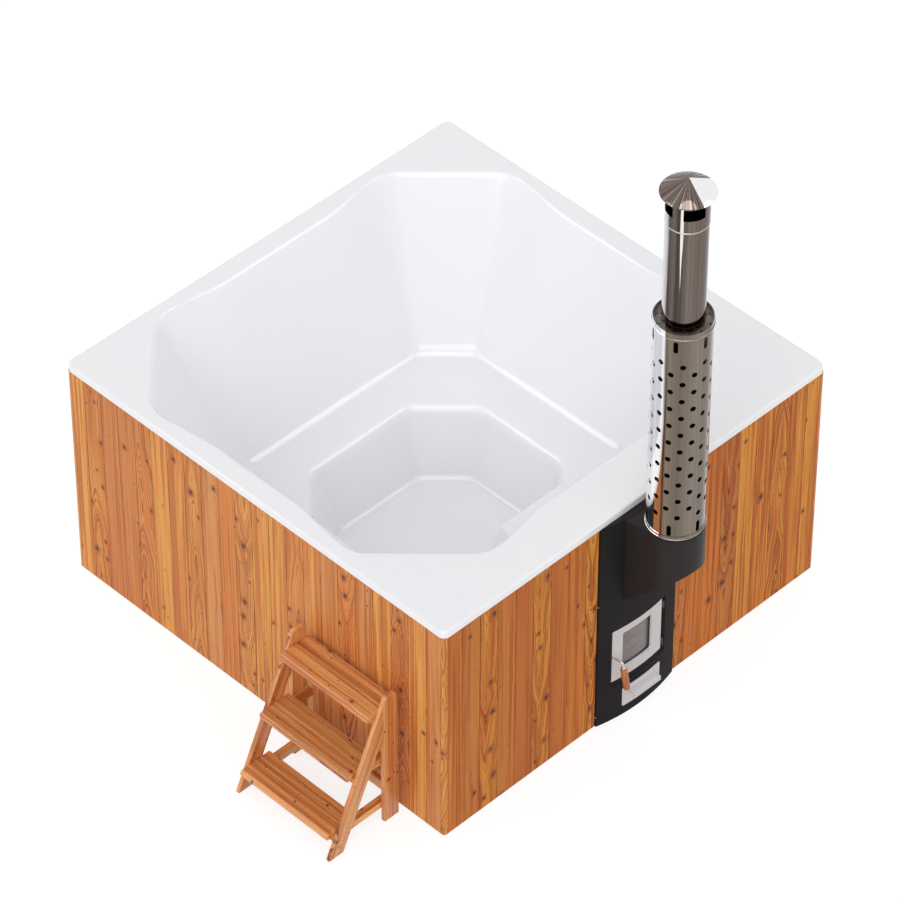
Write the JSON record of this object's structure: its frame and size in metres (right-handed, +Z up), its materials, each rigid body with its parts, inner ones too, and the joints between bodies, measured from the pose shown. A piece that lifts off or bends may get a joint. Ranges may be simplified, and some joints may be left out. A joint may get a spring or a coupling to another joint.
{
  "type": "wood-fired plunge tub",
  "caption": "Square wood-fired plunge tub: moulded white shell in a timber-clad box, built-in stove with a glazed door, ash drawer and perforated chimney, and free-standing timber steps.",
  "frame": {"origin": "centre of the box's footprint on the ground, at the underside of the middle base joist", "axes": "+Z up; the stove faces -Y; the steps stand at the -X side"},
  "size_m": [2.479, 2.2747, 2.6616],
  "materials": {
    "acrylic": "gloss",
    "larch": "oiled larch",
    "pine": "sawn",
    "step_wood": "oiled",
    "charcoal": "satin",
    "satin_grey": "satin",
    "stainless": "polished",
    "black_steel": "matt",
    "pipe": "matt",
    "brass": "plain",
    "red": "gloss",
    "grip": "varnished",
    "glass": "smoked",
    "seal": "woven rope"
  },
  "bodies": {
    "tub": {"shell": "acrylic", "corner_trims": "larch", "cladding_left": "larch", "cladding_right": "larch", "cladding_back": "larch", "cladding_front_left": "larch", "cladding_front_right": "larch", "corner_posts": "pine", "studs": "pine", "top_rails": "pine", "mid_rails": "pine", "bottom_rails": "pine", "base_joists": "pine", "drain_fitting": "stainless", "drain_nut": "pipe", "drain_pipe": "pipe", "drain_valve": "brass", "water_ports": "pipe", "port_nuts": "pipe", "circulation_pipes": "pipe", "stove_panel": "charcoal", "panel_cap": "charcoal", "panel_screws": "satin_grey", "hood": "charcoal", "door_surround": "black_steel", "hinge_pins": "satin_grey", "latch_catch": "black_steel", "ash_chamber": "black_steel", "firebox": "black_steel", "fire_grate": "black_steel", "stove_stand": "black_steel", "smoke_duct": "black_steel", "flue_lower": "stainless", "guard": "stainless", "guard_rings": "stainless", "spacer_ring": "stainless", "flue_upper": "stainless", "flue_band": "stainless", "cap_sleeve": "stainless", "cap_cone": "stainless"},
    "stove_door": {"door_frame": "satin_grey", "door_glass": "glass", "glass_retainer": "black_steel", "door_seal": "seal"},
    "latch": {"latch_rod": "satin_grey", "latch_grip": "grip"},
    "ash_drawer": {"ash_drawer_front": "stainless", "ash_drawer_box": "black_steel"},
    "drain_lever": {"valve_ball": "stainless", "valve_lever": "red"},
    "steps": {"step_legs": "step_wood", "step_posts": "step_wood", "step_tread_top": "step_wood", "step_tread_middle": "step_wood", "step_tread_bottom": "step_wood", "step_cleats": "step_wood", "step_cross_rail": "step_wood"}
  },
  "joints": [
    {"name": "door_hinge", "type": "hinge", "parent": "tub", "child": "stove_door", "pos_m": [0.128, -1.02, 0.336], "axis": [0, 0, 1], "range_deg": [0, 110]},
    {"name": "latch_turn", "type": "hinge", "parent": "stove_door", "child": "latch", "pos_m": [-0.1352, -1.02, 0.332], "axis": [0, 1, 0], "range_deg": [0, 90]},
    {"name": "ash_drawer_slide", "type": "slide", "parent": "tub", "child": "ash_drawer", "axis": [0, -1, 0], "range_m": [0, 0.3]},
    {"name": "drain_valve_turn", "type": "hinge", "parent": "tub", "child": "drain_lever", "pos_m": [1.046, -0.13636, 0.034], "axis": [0, 0, 1], "range_deg": [0, 90]},
    {"name": "steps_pull_away", "type": "slide", "parent": "tub", "child": "steps", "axis": [-1, 0, 0], "range_m": [0, 0.3]}
  ]
}
